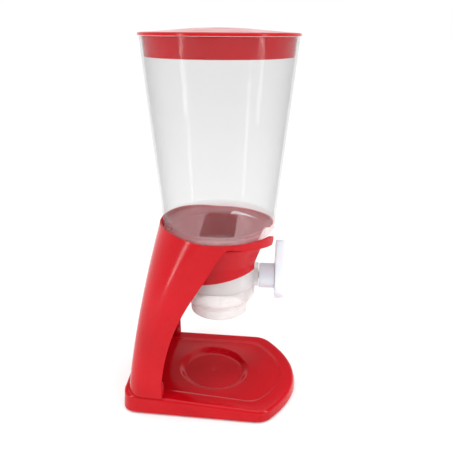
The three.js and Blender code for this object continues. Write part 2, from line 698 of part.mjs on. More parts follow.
place('drive_shaft', driveShaft(), STEEL);
place('paddle_wheel', paddleWheel(), SILICONE);
place('knob_hub', knobHub(), WHITE);
place('knob_plate', knobPlate(), WHITE);
place('knob_screw', knobScrew(), STEEL);
place('knob_cap', knobCap(), WHITE);

place('lid_shell', lidShell(), RED);
place('lid_seal', lidSeal(), SILICONE);

export default object;
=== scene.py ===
import json
import math

import bpy
import bmesh
from mathutils import Matrix, Vector


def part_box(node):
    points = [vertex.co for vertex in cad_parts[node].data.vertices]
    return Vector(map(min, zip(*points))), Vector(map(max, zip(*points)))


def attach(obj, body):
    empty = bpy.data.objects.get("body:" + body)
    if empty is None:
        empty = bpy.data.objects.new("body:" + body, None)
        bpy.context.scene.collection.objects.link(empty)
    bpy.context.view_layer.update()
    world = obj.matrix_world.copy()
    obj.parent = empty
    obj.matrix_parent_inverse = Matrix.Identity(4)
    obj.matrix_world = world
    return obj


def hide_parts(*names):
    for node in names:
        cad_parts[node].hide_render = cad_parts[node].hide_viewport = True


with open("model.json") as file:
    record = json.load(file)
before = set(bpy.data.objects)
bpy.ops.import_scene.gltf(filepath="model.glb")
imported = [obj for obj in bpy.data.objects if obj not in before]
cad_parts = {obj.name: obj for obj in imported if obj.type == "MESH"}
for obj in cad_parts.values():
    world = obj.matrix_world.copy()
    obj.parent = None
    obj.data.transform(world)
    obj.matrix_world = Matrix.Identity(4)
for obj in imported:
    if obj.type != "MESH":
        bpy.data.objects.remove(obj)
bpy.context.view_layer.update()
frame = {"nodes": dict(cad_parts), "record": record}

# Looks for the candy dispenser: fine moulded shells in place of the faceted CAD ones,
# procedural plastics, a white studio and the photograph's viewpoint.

MM = 0.001

# ---------------------------------------------------------------- sizes, in millimetres


def box_mm(node):
    low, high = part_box(node)
    return low / MM, high / MM


def plan_middle(node):
    low, high = box_mm(node)
    return (low.x + high.x) / 2, (low.y + high.y) / 2


tank_low, tank_high = box_mm("hopper_tank")
lid_low, lid_high = box_mm("lid_shell")
base_low, base_high = box_mm("base_tray")
shaft_low, shaft_high = box_mm("drive_shaft")
hub_low, hub_high = box_mm("knob_hub")
plate_low, plate_high = box_mm("knob_plate")
bowl_low, bowl_high = box_mm("outlet_bowl")

AXIS_X = (tank_low.x + tank_high.x) / 2
SHAFT_Z = (shaft_low.z + shaft_high.z) / 2
GAP = 0.3

BASE_MID_HEIGHT = 17.9
BASE_SLOPE = -0.058
BASE_HALF_LENGTH = base_high.x
BASE_REAR_HALF_WIDTH = 69
BASE_FRONT_HALF_WIDTH = 75.5
BASE_REAR_CORNER = 20
BASE_FRONT_CORNER_X = 62
DISH_INSET = 17
DISH_DEPTH = 1.2
RECESS_R = 41.6
RECESS_FLOOR_R = 34.5
RECESS_DEPTH = 6.5

WALL = 2.6
COLUMN_FOOT_HALF_WIDTH = 69.5
COLUMN_FOOT_BACK = -90
COLUMN_LOW = 18
COLUMN_TOP = 205
COLLAR_R = 62.4
COLLAR_RIM = 197.9
RIM_RISE = 5.2                   # the rim rises by this much over this run behind the axis
RIM_RUN = 54
BAND_START = 22                  # where the arch has become the lower edge of the band
BAND_START_Z = 193.9
BAND_SLOPE = -0.155              # the band grows taller towards its two tips
PRONG_GAP = 18                   # half the width between the two prongs
TIP_ROUND = 7
SEAT_WALL = 1.8
SEAT_SLEEVE_R = 44.2
SEAT_SLEEVE_TOP = 158

HOPPER_BOTTOM = tank_low.z
HOPPER_FLOOR = 199.6
HOPPER_TOP = tank_high.z
HOPPER_BOTTOM_R = 59
HOPPER_TOP_R = 75.9
HOPPER_WALL = 2.2
TROUGH_HALF = 19
TROUGH_REACH = 43
THROAT_HALF = 7
THROAT_REACH = 21
THROAT_Z = 171
LID_R = (lid_high.x - lid_low.x) / 2
LID_WALL = 2.2
SEAL_THICK = 0.8
SEAL_INNER_R = 73.9
SEAL_OUTER_R = 75.7
KNOB_R = 24.5
KNOB_TIP_R = 12
KNOB_TIP_REACH = 30

ROUND = 160                      # facets round the turned pieces
SEE_THROUGH_DEPTH = 40           # clear surfaces a ray may pass; fewer darken the slot in the floor


# ---------------------------------------------------------------- meshes


def piece(name, body, slot, material, stands_for, verts, faces):
    mesh = bpy.data.meshes.new(name)
    mesh.from_pydata([Vector(v) * MM for v in verts], [], faces)
    mesh.validate()
    bm = bmesh.new()
    bm.from_mesh(mesh)
    bmesh.ops.recalc_face_normals(bm, faces=bm.faces)
    bm.to_mesh(mesh)
    bm.free()
    for polygon in mesh.polygons:
        polygon.use_smooth = True
    thing = bpy.data.objects.new(name, mesh)
    bpy.context.scene.collection.objects.link(thing)
    mesh.materials.append(material)
    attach(thing, body)
    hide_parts(*stands_for)
    return thing


def skin(rings, closed_loop=False, start=None, end=None):
    """Quads between rings of equal length, with a fan to a pole at either end if given."""
    count = len(rings[0])
    verts = [v for ring in rings for v in ring]
    faces = []
    levels = len(rings) if closed_loop else len(rings) - 1
    for level in range(levels):
        upper = (level + 1) % len(rings)
        for i in range(count):
            j = (i + 1) % count
            faces.append((level * count + i, level * count + j, upper * count + j, upper * count + i))
    for pole, level in ((start, 0), (end, len(rings) - 1)):
        if pole is not None:
            verts.append(pole)
            for i in range(count):
                j = (i + 1) % count
                faces.append((level * count + i, level * count + j, len(verts) - 1))
    return verts, faces


def fillet(corners, steps=5):
    """Outline through (a, b, radius) corners, each rounded by an arc of that radius."""
    points = []
    count = len(corners)
    for i, (a, b, radius) in enumerate(corners):
        here = Vector((a, b))
        if radius <= 0:
            points.append(here)
            continue
        before = (Vector(corners[i - 1][:2]) - here)
        after = (Vector(corners[(i + 1) % count][:2]) - here)
        room = 0.48 * min(before.length, after.length)
        before.normalize()
        after.normalize()
        half = math.acos(max(-1, min(1, before.dot(after)))) / 2
        reach = min(radius / math.tan(half), room)
        arc = reach * math.tan(half)
        centre = here + (before + after).normalized() * (arc / math.sin(half))
        first = here + before * reach - centre
        last = here + after * reach - centre
        start = math.atan2(first.y, first.x)
        sweep = (math.atan2(last.y, last.x) - start + math.pi) % (2 * math.pi) - math.pi
        for k in range(steps + 1):
            turn = start + sweep * k / steps
            points.append(centre + Vector((arc * math.cos(turn), arc * math.sin(turn))))
    return points


def turned(corners, centre_x=None, steps=ROUND):
    """Turned body about the hopper axis from (radius, height, fillet) corners."""
    x0 = AXIS_X if centre_x is None else centre_x
    outline = fillet(corners)
    poles = [p for p in outline if p.x == 0]
    rings = []
    for p in outline:
        if p.x > 0:
            rings.append([
                (x0 + p.x * math.cos(2 * math.pi * i / steps), p.x * math.sin(2 * math.pi * i / steps), p.y)
                for i in range(steps)
            ])
    if poles:
        return skin(rings, start=(x0, 0, poles[0].y), end=(x0, 0, poles[-1].y))
    return skin(rings, closed_loop=True)


def about_shaft(corners, steps=72):
    """Turned body about the shaft's axis from (radius, x, fillet) corners."""
    verts, faces = turned(corners, centre_x=0, steps=steps)
    return [(z, y, SHAFT_Z + x) for x, y, z in verts], faces


def refined(node, body, slot, material, edge=0.25):
    """A copy of a small CAD node with softened edges and smooth shading."""
    source = frame["nodes"][node]
    mesh = source.data.copy()
    mesh.name = node + "_moulded"
    bm = bmesh.new()
    bm.from_mesh(mesh)
    bmesh.ops.remove_doubles(bm, verts=bm.verts, dist=2e-6)
    bmesh.ops.dissolve_limit(
        bm, angle_limit=math.radians(0.5), verts=bm.verts, edges=bm.edges, delimit={"NORMAL"},
    )
    for face in bm.faces:
        face.smooth = True
    for seam in bm.edges:
        seam.smooth = seam.calc_face_angle(0) < math.radians(32)
    bm.to_mesh(mesh)
    bm.free()
    mesh.materials.clear()
    mesh.materials.append(material)
    thing = bpy.data.objects.new(node + "_moulded", mesh)
    bpy.context.scene.collection.objects.link(thing)
    if edge:
        soften(thing, edge)
    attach(thing, body)
    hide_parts(node)


def soften(thing, width, segments=3, angle=40):
    bevel = thing.modifiers.new("edge", "BEVEL")
    bevel.width = width * MM
    bevel.segments = segments
    bevel.limit_method = "ANGLE"
    bevel.angle_limit = math.radians(angle)
    bevel.harden_normals = False


def thicken(thing, wall):
    shell = thing.modifiers.new("wall", "SOLIDIFY")
    shell.thickness = wall * MM
    shell.offset = -1
    shell.use_even_offset = True


def lerp(a, b, t):
    return a + (b - a) * t


def smoothstep(t):
    t = max(0.0, min(1.0, t))
    return t * t * (3 - 2 * t)


# ---------------------------------------------------------------- materials


class Nodes:
    """Short-hand for building one procedural material."""

    def __init__(self, name):
        self.material = bpy.data.materials.new(name)
        self.material.use_nodes = True
        self.tree = self.material.node_tree
        self.shader = self.tree.nodes["Principled BSDF"]
        self.place = self.tree.nodes.new("ShaderNodeTexCoord").outputs["Object"]

    def set(self, **values):
        for name, value in values.items():
            self.shader.inputs[name.replace("_", " ")].default_value = value

    def link(self, a, b):
        self.tree.links.new(a, b)

    def stretched(self, scale):
        mapping = self.tree.nodes.new("ShaderNodeMapping")
        mapping.inputs["Scale"].default_value = scale
        self.link(self.place, mapping.inputs["Vector"])
        return mapping.outputs["Vector"]

    def noise(self, scale, detail=3, roughness=0.5, vector=None):
        node = self.tree.nodes.new("ShaderNodeTexNoise")
        node.inputs["Scale"].default_value = scale
        node.inputs["Detail"].default_value = detail
        node.inputs["Roughness"].default_value = roughness
        self.link(vector or self.place, node.inputs["Vector"])
        return node.outputs["Fac"]

    def between(self, value, low, high, start=0.0, end=1.0):
        node = self.tree.nodes.new("ShaderNodeMapRange")
        node.inputs["From Min"].default_value = start
        node.inputs["From Max"].default_value = end
        node.inputs["To Min"].default_value = low
        node.inputs["To Max"].default_value = high
        self.link(value, node.inputs["Value"])
        return node.outputs["Result"]

    def blend(self, factor, first, second):
        node = self.tree.nodes.new("ShaderNodeMix")
        node.data_type = "RGBA"
        self.link(factor, node.inputs["Factor"])
        for socket, colour in (("A", first), ("B", second)):
            target = next(s for s in node.inputs if s.name == socket and s.type == "RGBA")
            if hasattr(colour, "links"):
                self.link(colour, target)
            else:
                target.default_value = (*colour, 1)
        return next(s for s in node.outputs if s.type == "RGBA")

    def add(self, first, second):
        node = self.tree.nodes.new("ShaderNodeMath")
        node.operation = "ADD"
        self.link(first, node.inputs[0])
        self.link(second, node.inputs[1])
        return node.outputs[0]

    def scratches(self, amount):
        """Fine hairlines: a stretched noise cut to thin bright lines."""
        lines = self.noise(90, 2, 0.4, self.stretched((1.0, 6.0, 34.0)))
        return self.between(lines, 0.0, amount, 0.60, 0.68)

    def height(self):
        parts = self.tree.nodes.new("ShaderNodeSeparateXYZ")
        self.link(self.place, parts.inputs[0])
        return parts.outputs["Z"]

    def see_through(self, face_on, slanting, more=None):
        """Alpha that rises from one value face on to another where the surface turns away."""
        turned_away = self.tree.nodes.new("ShaderNodeLayerWeight")
        turned_away.inputs["Blend"].default_value = 0.5
        rise = self.tree.nodes.new("ShaderNodeMath")
        rise.operation = "POWER"
        self.link(turned_away.outputs["Facing"], rise.inputs[0])
        rise.inputs[1].default_value = 3
        alpha = self.between(rise.outputs[0], face_on, slanting)
        self.link(self.add(alpha, more) if more else alpha, self.shader.inputs["Alpha"])

    def relief(self, *layers):
        """Bumps from (height, distance in millimetres) layers, coarse first."""
        normal = None
        for height, distance in layers:
            bump = self.tree.nodes.new("ShaderNodeBump")
            bump.inputs["Distance"].default_value = distance * MM
            bump.inputs["Strength"].default_value = 1
            self.link(height, bump.inputs["Height"])
            if normal:
                self.link(normal, bump.inputs["Normal"])
            normal = bump.outputs["Normal"]
        self.link(normal, self.shader.inputs["Normal"])


def red_plastic():
    n = Nodes("red_plastic")
    broad = n.noise(14, 3)
    grain = n.noise(420, 4, 0.6)
    colour = n.blend(n.between(broad, 0, 1, 0.3, 0.7), (0.46, 0.0015, 0.006), (0.55, 0.003, 0.010))
    dusty = n.blend(n.between(grain, 0.0, 0.02, 0.5, 0.8), colour, (0.72, 0.20, 0.20))
    n.link(dusty, n.shader.inputs["Base Color"])
    rough = n.add(n.between(n.noise(38, 4, 0.6), 0.10, 0.18, 0.3, 0.7), n.scratches(0.08))
    n.link(rough, n.shader.inputs["Roughness"])
    n.relief((n.noise(30, 2), 0.05), (grain, 0.003))
    n.set(IOR=1.45, Specular_IOR_Level=0.24)
    return n.material


def clear_plastic():
    """Clear wall. The pink low down isn't the plastic's: it stands for light off the red cup."""
    n = Nodes("clear_plastic")
    cloud = n.between(n.noise(26, 4, 0.6), 0, 1, 0.3, 0.7)
    low_down = n.between(n.height(), 1, 0, 0.201, 0.208)
    wall = n.blend(cloud, (0.06, 0.055, 0.055), (0.09, 0.085, 0.085))
    floor = n.blend(cloud, (0.84, 0.42, 0.45), (0.90, 0.52, 0.54))
    n.link(n.blend(low_down, wall, floor), n.shader.inputs["Base Color"])
    n.link(n.add(n.between(cloud, 0.02, 0.06), n.scratches(0.10)), n.shader.inputs["Roughness"])
    n.relief((n.noise(18, 2), 0.08), (n.noise(90, 2), 0.006))
    n.see_through(0.08, 0.36, n.between(low_down, 0, 0.20))
    n.set(IOR=1.8)
    return n.material


def thin_clear_plastic():
    """Clear inner mouldings, with the same pink stand-in for light off the red cup."""
    n = Nodes("thin_clear_plastic")
    cloud = n.between(n.noise(34, 4, 0.6), 0, 1, 0.3, 0.7)
    n.link(n.blend(cloud, (0.66, 0.50, 0.52), (0.74, 0.60, 0.61)), n.shader.inputs["Base Color"])
    n.link(n.add(n.between(cloud, 0.03, 0.08), n.scratches(0.08)), n.shader.inputs["Roughness"])
    n.relief((n.noise(30, 2), 0.05), (n.noise(120, 2), 0.005))
    n.see_through(0.04, 0.16)
    n.set(IOR=1.5)
    return n.material


def frosted_plastic():
    """Clear moulding with a sand-textured, milky surface below its cone."""
    n = Nodes("frosted_plastic")
    cloud = n.noise(60, 4, 0.6)
    textured = n.between(n.height(), 1, 0, 0.160, 0.172)
    colour = n.blend(n.between(cloud, 0, 1, 0.3, 0.7), (0.80, 0.76, 0.76), (0.86, 0.83, 0.83))
    n.link(colour, n.shader.inputs["Base Color"])
    n.link(n.add(n.between(cloud, 0.04, 0.10), n.between(textured, 0, 0.25)), n.shader.inputs["Roughness"])
    n.relief((n.noise(40, 2), 0.08), (n.noise(500, 3), 0.004))
    n.see_through(0.04, 0.20, n.between(textured, 0, 0.46))
    n.set(IOR=1.6)
    return n.material


def milky_plastic():
    n = Nodes("milky_plastic")
    cloud = n.noise(60, 4, 0.6)
    colour = n.blend(n.between(cloud, 0, 1, 0.3, 0.7), (0.80, 0.74, 0.73), (0.86, 0.82, 0.81))
    n.link(colour, n.shader.inputs["Base Color"])
    n.link(n.between(cloud, 0.22, 0.36, 0.3, 0.7), n.shader.inputs["Roughness"])
    n.relief((n.noise(40, 2), 0.10), (n.noise(500, 3), 0.005))
    n.see_through(0.50, 0.85)
    n.set(IOR=1.6)
    return n.material


def white_plastic():
    n = Nodes("white_plastic")
    broad = n.noise(40, 3)
    grain = n.noise(600, 4, 0.6)
    colour = n.blend(n.between(broad, 0, 1, 0.3, 0.7), (0.74, 0.77, 0.84), (0.80, 0.825, 0.88))
    n.link(colour, n.shader.inputs["Base Color"])
    n.link(n.add(n.between(grain, 0.26, 0.38, 0.3, 0.7), n.scratches(0.12)), n.shader.inputs["Roughness"])
    n.relief((broad, 0.08), (grain, 0.008))
    n.set(IOR=1.5, Subsurface_Weight=0.25, Subsurface_Scale=0.002)
    return n.material


def silicone():
    n = Nodes("silicone")
    grain = n.noise(700, 4, 0.6)
    colour = n.blend(n.between(n.noise(50, 3), 0, 1, 0.3, 0.7), (0.62, 0.61, 0.59), (0.70, 0.69, 0.67))
    n.link(colour, n.shader.inputs["Base Color"])
    n.link(n.between(grain, 0.50, 0.68, 0.3, 0.7), n.shader.inputs["Roughness"])
    n.relief((grain, 0.015))
    n.set(Subsurface_Weight=0.3, Subsurface_Scale=0.002)
    return n.material


def steel():
    n = Nodes("steel")
    lines = n.noise(260, 4, 0.6, n.stretched((1.0, 12.0, 12.0)))
    colour = n.blend(n.between(lines, 0, 1, 0.3, 0.7), (0.50, 0.50, 0.52), (0.66, 0.66, 0.67))
    n.link(colour, n.shader.inputs["Base Color"])
    n.link(n.between(lines, 0.22, 0.42, 0.3, 0.7), n.shader.inputs["Roughness"])
    n.relief((lines, 0.006))
    n.set(Metallic=1.0)
    return n.material


def rubber():
    n = Nodes("rubber")
    grain = n.noise(500, 4, 0.7)
    colour = n.blend(n.between(grain, 0, 1, 0.3, 0.7), (0.012, 0.012, 0.013), (0.028, 0.027, 0.027))
    n.link(colour, n.shader.inputs["Base Color"])
    n.link(n.between(grain, 0.65, 0.85, 0.3, 0.7), n.shader.inputs["Roughness"])
    n.relief((grain, 0.03))
    return n.material


MATERIALS = {
    "red_plastic": red_plastic(),
    "clear_plastic": clear_plastic(),
    "frosted_plastic": frosted_plastic(),
    "thin_clear_plastic": thin_clear_plastic(),
    "milky_plastic": milky_plastic(),
    "white_plastic": white_plastic(),
    "silicone": silicone(),
    "steel": steel(),
    "rubber": rubber(),
}


def make(name, body, slot, stands_for, mesh):
    return piece(name, body, slot, MATERIALS[slot], stands_for, *mesh)


# ---------------------------------------------------------------- base


def base_top(x):
    return BASE_MID_HEIGHT + BASE_SLOPE * x


def quadratic(p, q, r, steps=24):
    curve = []
    for k in range(steps):
        t = k / steps
        curve.append(tuple((1 - t) ** 2 * a + 2 * t * (1 - t) * b + t * t * c for a, b, c in zip(p, q, r)))
    return curve


def base_outline(margin=0.0):
    """Plan of the base on its -Y side, from the middle of the back to the tip of the front."""
    rear, front = margin - BASE_HALF_LENGTH, BASE_HALF_LENGTH - margin
    rear_side = margin - BASE_REAR_HALF_WIDTH
    front_side = margin - BASE_FRONT_HALF_WIDTH
    corner = BASE_FRONT_CORNER_X - 0.6 * margin
    bend = (corner + 8, front_side + 11)
    points = [(rear, 0)]
    corner_start = (rear, rear_side + BASE_REAR_CORNER)
    corner_end = (rear + BASE_REAR_CORNER, rear_side)
    points += quadratic(corner_start, (rear, rear_side), corner_end)
    points.append(corner_end)
    points += quadratic((corner - 12, front_side + 0.5), (corner, front_side), bend)
    points += quadratic(bend, (front, 0.44 * front_side), (front, 0))
    points.append((front, 0))
    return points


def reach_to(outline, angle):
    """Distance from the origin to an outline along a ray on its -Y side."""
    ray = Vector((math.cos(angle), math.sin(angle)))
    for (ax, ay), (bx, by) in zip(outline, outline[1:]):
        side_a = ray.x * ay - ray.y * ax
        side_b = ray.x * by - ray.y * bx
        if side_a * side_b <= 0 and (side_a != side_b):
            t = side_a / (side_a - side_b)
            hit = Vector((lerp(ax, bx, t), lerp(ay, by, t)))
            if hit.dot(ray) > 0:
                return hit.length
    raise ValueError("the ray misses the outline")


def base_angles(count=260):
    """Ray angles that fall evenly along the base's edge, all the way round."""
    outline = base_outline()
    lengths = [0.0]
    for (ax, ay), (bx, by) in zip(outline, outline[1:]):
        lengths.append(lengths[-1] + math.hypot(bx - ax, by - ay))
    half = []
    for k in range(count // 2 + 1):
        target = lengths[-1] * k / (count // 2)
        i = max(j for j, length in enumerate(lengths[:-1]) if length <= target)
        t = (target - lengths[i]) / (lengths[i + 1] - lengths[i])
        x = lerp(outline[i][0], outline[i + 1][0], t)
        y = lerp(outline[i][1], outline[i + 1][1], t)
        half.append(math.atan2(y, x) if y < 0 else (math.pi if x < 0 else 0.0))
    half[0] = -math.pi
    return half + [-angle for angle in reversed(half[1:-1])]


def base_mesh():
    angles = base_angles()
    lower = [-abs(angle) for angle in angles]

    def edge_ring(margin, height):
        outline = base_outline(margin)
        ring = []
        for angle, mirrored in zip(angles, lower):
            reach = reach_to(outline, mirrored)
            x, y = reach * math.cos(angle), reach * math.sin(angle)
            ring.append((x, y, height(x)))
        return ring

    def round_ring(radius, rise):
        ring = []
        for angle in angles:
            x, y = radius * math.cos(angle), radius * math.sin(angle)
            ring.append((x, y, base_top(x) + rise))
        return ring

    def dish_ring(margin, rise):
        return edge_ring(DISH_INSET + margin, lambda x: base_top(x) + rise)

    floor = -RECESS_DEPTH
    slope = RECESS_R - RECESS_FLOOR_R
    rings = [round_ring(1.0, floor - 0.35), round_ring(1.5, floor - 0.05), round_ring(2.0, floor)]
    rings += [round_ring(r, floor) for r in (12, 22, 30, RECESS_FLOOR_R - 1.2)]
    lip = -DISH_DEPTH - 0.1
    for k in range(1, 10):
        t = k / 10
        rise = lerp(floor, lip, smoothstep(t) * 0.55 + t * 0.45)
        rings.append(round_ring(RECESS_FLOOR_R - 1.2 + (slope + 1.4) * t, rise))
    rings += [round_ring(RECESS_R + 0.5, -DISH_DEPTH)]
    for margin, rise in ((3.4, 0.0), (2.6, 0.06), (1.4, 0.45), (0.4, 0.85), (-0.6, 1.12), (-1.4, DISH_DEPTH)):
        rings.append(dish_ring(margin, rise - DISH_DEPTH))
    top_radius = 4.6
    for k in range(9):
        turn = (k / 8) * math.pi / 2
        margin = 1.0 + top_radius * (1 - math.sin(turn))
        drop = top_radius * (1 - math.cos(turn))
        rings.append(edge_ring(margin, lambda x, d=drop: base_top(x) - d))
    rings.append(edge_ring(0.15, lambda x: 4.0))
    rings.append(edge_ring(0.0, lambda x: 2.8))
    rings.append(edge_ring(0.25, lambda x: 1.9))
    rings.append(edge_ring(0.9, lambda x: base_low.z))
    rings.append(edge_ring(2.6, lambda x: base_low.z))
    rings.append(edge_ring(3.2, lambda x: base_low.z + 0.6))
    rings.append(edge_ring(4.4, lambda x: base_top(x) - DISH_DEPTH - 3.6))
    rings.append(edge_ring(6.2, lambda x: base_top(x) - DISH_DEPTH - 2.4))
    rings.append(dish_ring(2, -DISH_DEPTH - 2.4))
    rings.append(round_ring(RECESS_R + 1.2, -DISH_DEPTH - 2.6))
    rings.append(round_ring(RECESS_R + 0.8, -RECESS_DEPTH - 2.2))
    rings.append(round_ring(RECESS_R - 1, -RECESS_DEPTH - 2.6))
    top_pole = (0, 0, base_top(0) + floor - 0.4)
    under_pole = (0, 0, base_top(0) - RECESS_DEPTH - 2.6)
    return skin(rings, start=top_pole, end=under_pole)


def foot_post(x, y, radius, low, high):
    corners = [(0, low, 0), (radius, low, 0.6), (radius - 0.3, high, 0), (0, high, 0)]
    verts, faces = turned(corners, centre_x=x, steps=40)
    return [(vx, vy + y, vz) for vx, vy, vz in verts], faces


def merged(meshes):
    verts, faces = [], []
    for more_verts, more_faces in meshes:
        offset = len(verts)
        verts += more_verts
        faces += [tuple(i + offset for i in face) for face in more_faces]
    return verts, faces


def base_posts():
    """The posts under the base that the feet and the column's screws sit in."""
    posts = []
    for i in range(1, 5):
        x, y = plan_middle(f"rubber_foot_{i}")
        foot_top = box_mm(f"rubber_foot_{i}")[1].z
        posts.append(foot_post(x, y, 8.5, foot_top + 0.3, base_top(x) - DISH_DEPTH - 1))
    for i in range(1, 5):
        x, y = plan_middle(f"column_screw_{i}")
        posts.append(foot_post(x, y, 5.5, 9.0, base_top(x) - DISH_DEPTH - 1))
    return merged(posts)


# ---------------------------------------------------------------- column and collar


def rim_height(x):
    return COLLAR_RIM + RIM_RISE * smoothstep((AXIS_X - x) / RIM_RUN)


def band_bottom(x):
    if x < BAND_START:
        return rim_height(x) - (COLLAR_RIM - BAND_START_Z)
    return BAND_START_Z + BAND_SLOPE * (x - BAND_START)


def column_foot(x):
    return base_top(x) + GAP


class Section:
    """Half of the column's outline at one height, walked from the middle of its back."""

    def __init__(self, z):
        t = min(1, max(0, (z - COLUMN_LOW) / (COLUMN_TOP - COLUMN_LOW)))
        self.half = lerp(COLUMN_FOOT_HALF_WIDTH, COLLAR_R, t)
        rise = AXIS_X - COLLAR_R - COLUMN_FOOT_BACK
        self.back = COLUMN_FOOT_BACK + rise * (0.65 * t + 0.35 * t * t)
        self.corner = min(self.half, lerp(BASE_REAR_CORNER, COLLAR_R, t * t))
        self.flat = self.half - self.corner
        self.bend = self.corner * math.pi / 2
        self.side = AXIS_X - self.back - self.corner
        self.front = self.half * math.pi / 2

    def at(self, walked):
        if walked <= self.flat:
            return self.back, walked
        walked -= self.flat
        if walked <= self.bend:
            turn = walked / self.corner
            return (self.back + self.corner * (1 - math.cos(turn)), self.flat + self.corner * math.sin(turn))
        walked -= self.bend
        if walked <= self.side:
            return self.back + self.corner + walked, self.half
        turn = (walked - self.side) / self.half
        return AXIS_X + self.half * math.sin(turn), self.half * math.cos(turn)

    def walk_to(self, x):
        start = self.flat + self.bend
        if x <= AXIS_X:
            return start + x - self.back - self.corner
        return start + self.side + self.half * math.asin(min(1, (x - AXIS_X) / self.half))


def bezier(p, q, r, s, t):
    a, b, c, d = (1 - t) ** 3, 3 * t * (1 - t) ** 2, 3 * t * t * (1 - t), t ** 3
    return Vector((a * p[0] + b * q[0] + c * r[0] + d * s[0], a * p[1] + b * q[1] + c * r[1] + d * s[1]))


def arch_curve():
    """Front edge of the column as (x, z): upright at the foot, then sweeping out to the band."""
    foot, middle, end = (-50, 40), (-6, 156), (BAND_START, BAND_START_Z)
    points = [Vector((foot[0], lerp(column_foot(foot[0]), foot[1], k / 8))) for k in range(8)]
    points += [bezier(foot, (-44, 92), (-28, 122), middle, k / 34) for k in range(34)]
    points += [bezier(middle, (6, 175), (end[0] - 9, end[1] + 1), end, k / 16) for k in range(17)]
    return points


def column_point(walked, height_of, guess):
    """Point on the column's skin a walk from its back, where its height depends on its x."""
    z = guess
    for _ in range(8):
        x, y = Section(z).at(walked)
        z = height_of(x)
    return x, y, z


TIP_X = AXIS_X + math.sqrt(COLLAR_R ** 2 - PRONG_GAP ** 2)


def band_top(x):
    """The rim, rounded down at the front end of each prong."""
    t = max(0.0, min(1.0, (x - TIP_X + TIP_ROUND) / TIP_ROUND))
    return rim_height(x) - TIP_ROUND * (1 - math.sqrt(1 - t * t))


def column_shell_mesh(columns=84):
    rows = []
    for edge in arch_curve():
        band = band_bottom(edge.x)
        share = (edge.y - column_foot(edge.x)) / (band - column_foot(edge.x))
        share = max(0.0, min(1.0, share))
        front = Section(edge.y).walk_to(edge.x)

        def height(x, share=share):
            return lerp(column_foot(x), band_bottom(x), share)

        row = [column_point(front * k / columns, height, edge.y) for k in range(columns)]
        row.append((edge.x, Section(edge.y).at(front)[1], edge.y))
        rows.append(row)

    last = rows[-1]
    arch_end = Section(last[-1][2]).walk_to(last[-1][0])
    tip = Section(COLUMN_TOP).walk_to(TIP_X)
    extra = 34
    tip_radius = 2.2
    walks = [arch_end * k / columns for k in range(columns + 1)]
    walks += [lerp(arch_end, tip, k / extra) for k in range(1, extra + 1)]
    band_rows = []
    for level in range(6):
        row = []
        for walked in walks:
            left = tip - walked
            ease = 1.0
            if left < tip_radius:
                ease = math.sqrt(max(0.03, 1 - ((tip_radius - left) / tip_radius) ** 2))
            share = 0.5 + (level / 5 - 0.5) * ease

            def height(x, share=share):
                return lerp(band_bottom(x), band_top(x), share)

            row.append(column_point(walked, height, COLUMN_TOP))
        band_rows.append(row)

    verts, faces = [], []
    for sign in (-1, 1):
        grid = {}
        for r, row in enumerate(rows[:-1]):
            for k, (x, y, z) in enumerate(row):
                grid["low", r, k] = len(verts)
                verts.append((x, sign * y, z))
        for r, row in enumerate(band_rows):
            for k, (x, y, z) in enumerate(row):
                grid["band", r, k] = len(verts)
                verts.append((x, sign * y, z))
        for r in range(len(rows) - 1):
            for k in range(columns):
                above = ("band", 0) if r == len(rows) - 2 else ("low", r + 1)
                faces.append((
                    grid["low", r, k], grid["low", r, k + 1], grid[(*above, k + 1)], grid[(*above, k)],
                ))
        for r in range(len(band_rows) - 1):
            for k in range(len(walks) - 1):
                faces.append((
                    grid["band", r, k], grid["band", r, k + 1],
                    grid["band", r + 1, k + 1], grid["band", r + 1, k],
                ))
    return verts, faces


def weld(thing, distance):
    bm = bmesh.new()
    bm.from_mesh(thing.data)
    bmesh.ops.remove_doubles(bm, verts=bm.verts, dist=distance * MM)
    bmesh.ops.recalc_face_normals(bm, faces=bm.faces)
    centre = Vector((0, 0, 120)) * MM
    outward = sum((f.calc_center_median() - centre).dot(f.normal) * f.calc_area() for f in bm.faces)
    if outward < 0:
        bmesh.ops.reverse_faces(bm, faces=bm.faces)
    bm.to_mesh(thing.data)
    bm.free()


def column_shell():
    thing = make("column_moulding", "stand", "red_plastic", ["column_shell"], column_shell_mesh())
    weld(thing, 0.02)
    thicken(thing, WALL)
    soften(thing, 1.1, segments=4, angle=55)


def column_fixings():
    """Posts inside the column that its own screws and the cup's screws sit in."""
    post_top = box_mm("seat_cup")[1].z - 2 - GAP
    posts = []
    for i in range(1, 5):
        x, y = plan_middle(f"column_screw_{i}")
        posts.append(foot_post(x, y, 5, column_foot(x), 36))
    for i in range(1, 4):
        x, y = plan_middle(f"seat_screw_{i}")
        posts.append(foot_post(x, y, 3.4, post_top - 10, post_top))
    make("column_fixings", "stand", "red_plastic", [], merged(posts))


